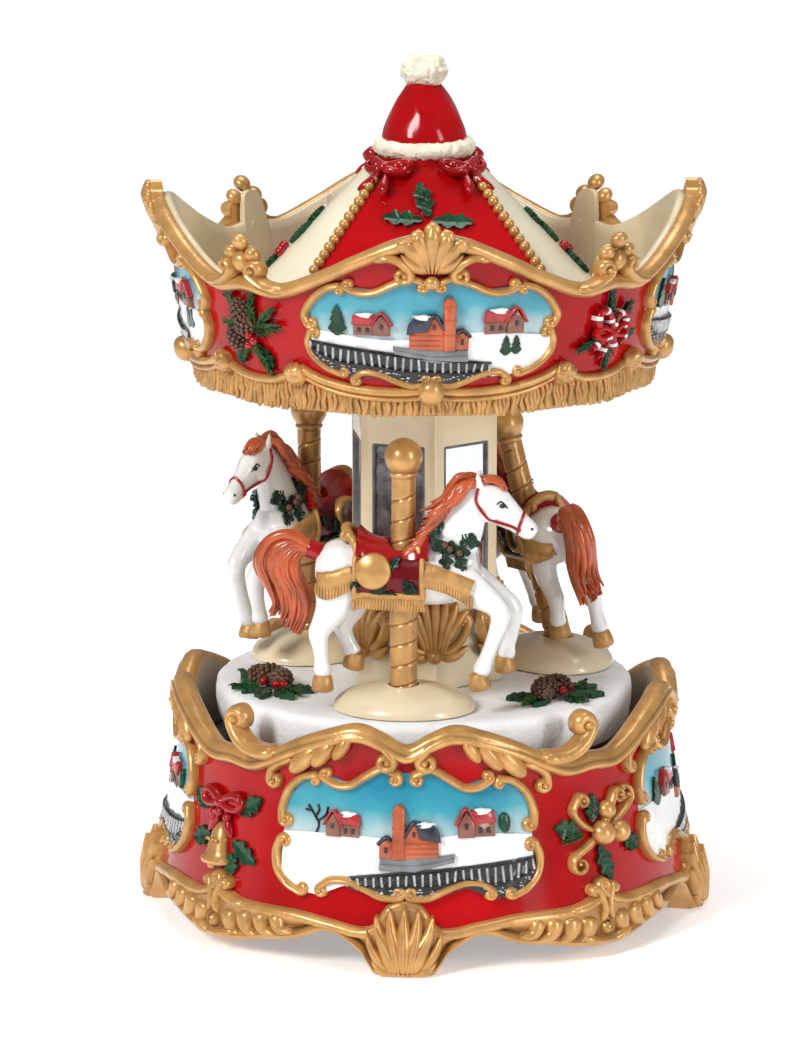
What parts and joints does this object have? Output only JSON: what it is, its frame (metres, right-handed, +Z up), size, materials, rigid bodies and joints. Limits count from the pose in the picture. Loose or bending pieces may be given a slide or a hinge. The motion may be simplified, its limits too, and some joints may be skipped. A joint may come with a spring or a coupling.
{
  "type": "carousel music box",
  "caption": "Wind-up carousel music box: round festive base, turning canopy on a mirrored column and prancing horses that rise and fall on poles.",
  "frame": {"origin": "centre of the base on the surface it stands on", "axes": "+Z up along the turning axis, -Y to the front cartouche, +X to the right"},
  "size_m": [0.141, 0.141, 0.216],
  "materials": {
    "red_lacquer": "glossy red paint on cast resin",
    "gold_paint": "satin antique gold paint on cast resin",
    "medallion_paint": "hand-painted relief picture in a gold frame, gloss varnish",
    "cream_paint": "cream gloss paint on cast resin",
    "snow_paint": "rough snow-textured white paint on cast resin",
    "horse_paint": "gloss white paint on cast resin with painted harness, mane and tail",
    "brass": "brushed brass",
    "steel": "plated steel",
    "board": "dark moulded plastic",
    "mirror": "silvered plastic mirror"
  },
  "bodies": {
    "base": {"base_shell": "red_lacquer", "base_rim": "gold_paint", "foot_trim": "gold_paint", "base_deck": "board", "hub_bush": "brass", "lift_track": "steel", "bottom_cover": "board", "cover_screw_1": "steel", "cover_screw_2": "steel", "cover_screw_3": "steel", "cover_screw_4": "steel", "movement_bedplate": "brass", "bracket_inner": "brass", "bracket_outer": "brass", "music_comb": "steel", "comb_screw_1": "steel", "comb_screw_2": "steel", "base_medallion_front": "medallion_paint", "base_medallion_right": "medallion_paint", "base_medallion_back": "medallion_paint", "base_medallion_left": "medallion_paint"},
    "key": {"winding_arbor": "steel", "winding_key": "brass"},
    "turntable": {"spring_barrel": "brass", "mainspring": "steel", "drive_wheel": "brass", "platform": "snow_paint", "pole_dome_front": "cream_paint", "pole_dome_right": "cream_paint", "pole_dome_left": "cream_paint", "column": "cream_paint", "mirror_1": "mirror", "mirror_2": "mirror", "mirror_3": "mirror", "mirror_4": "mirror", "mirror_5": "mirror", "mirror_6": "mirror", "canopy_crown": "red_lacquer", "canopy_fringe": "gold_paint", "roof_cone": "cream_paint", "hat_band": "snow_paint", "hat": "red_lacquer", "pompom": "snow_paint", "canopy_medallion_front": "medallion_paint", "canopy_medallion_right": "medallion_paint", "canopy_medallion_back": "medallion_paint", "canopy_medallion_left": "medallion_paint"},
    "cylinder": {"cylinder_arbor": "steel", "pin_cylinder": "brass", "cylinder_wheel": "brass"},
    "governor": {"governor_fan": "brass"},
    "front_horse": {"horse_front": "horse_paint", "pole_front": "gold_paint"},
    "right_horse": {"horse_right": "horse_paint", "pole_right": "gold_paint"},
    "left_horse": {"horse_left": "horse_paint", "pole_left": "gold_paint"}
  },
  "joints": [
    {"name": "key_turn", "type": "hinge", "parent": "base", "child": "key", "pos_m": [0, 0, 0.01], "axis": [0, 0, 1], "continuous": true},
    {"name": "turntable_spin", "type": "hinge", "parent": "base", "child": "turntable", "pos_m": [0, 0, 0.05], "axis": [0, 0, 1], "continuous": true},
    {"name": "cylinder_spin", "type": "hinge", "parent": "base", "child": "cylinder", "pos_m": [0.026, 0, 0.0271], "axis": [1, 0, 0], "continuous": true},
    {"name": "governor_spin", "type": "hinge", "parent": "base", "child": "governor", "pos_m": [0.03, 0.011, 0.0271], "axis": [1, 0, 0], "continuous": true},
    {"name": "front_horse_lift", "type": "slide", "parent": "turntable", "child": "front_horse", "axis": [0, 0, 1], "range_m": [-0.0025, 0.003]},
    {"name": "right_horse_lift", "type": "slide", "parent": "turntable", "child": "right_horse", "axis": [-0.2413, -0.0177, 0.9703], "range_m": [-0.0025, 0.003]},
    {"name": "left_horse_lift", "type": "slide", "parent": "turntable", "child": "left_horse", "axis": [0, 0, 1], "range_m": [-0.0025, 0.003]}
  ],
  "couplings": [
    {"joint": "cylinder_spin", "follows": "turntable_spin", "ratio": -6},
    {"joint": "governor_spin", "follows": "turntable_spin", "ratio": 24}
  ]
}
